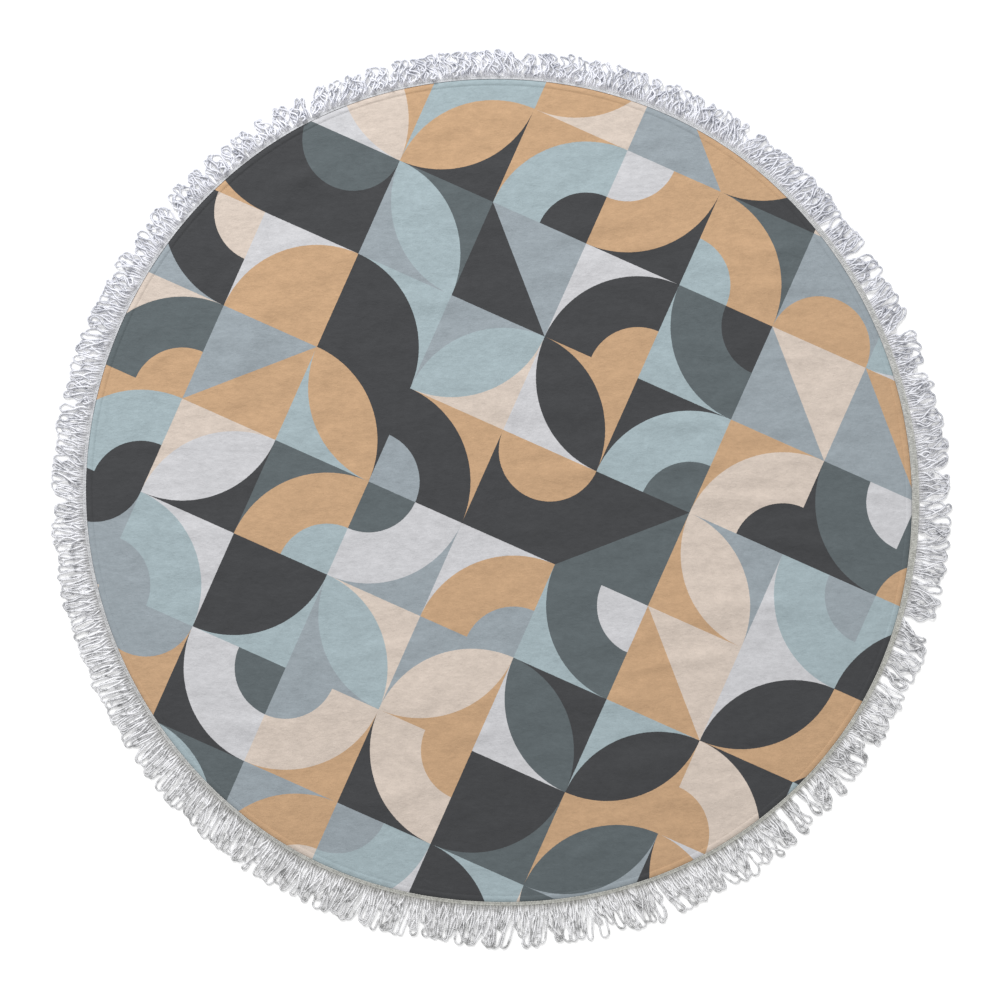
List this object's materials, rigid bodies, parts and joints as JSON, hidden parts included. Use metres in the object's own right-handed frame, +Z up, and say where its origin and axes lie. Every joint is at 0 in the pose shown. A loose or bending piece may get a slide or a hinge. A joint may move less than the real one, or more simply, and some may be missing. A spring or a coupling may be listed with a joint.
{
  "type": "round beach towel with looped fringe",
  "caption": "Round printed beach towel laid out flat: one cloth sheet with a narrow hem, soft swells and a fringe of uncut yarn loops all round.",
  "frame": {"origin": "on the floor, at the centre of the box round the whole towel with its fringe", "axes": "+Z up out of the printed face, +Y towards the side where the fringe is shortest, +X to the right when the printed face is looked down on"},
  "size_m": [1.5222, 1.5236, 0.0064],
  "materials": {
    "printed_velour": "matt brushed velour with a printed geometric pattern on the face, plain white terry on the back",
    "cotton_yarn": "matt twisted cotton yarn, off-white"
  },
  "bodies": {
    "root": {"towel_cloth": "printed_velour", "loop_fringe": "cotton_yarn"}
  },
  "joints": []
}
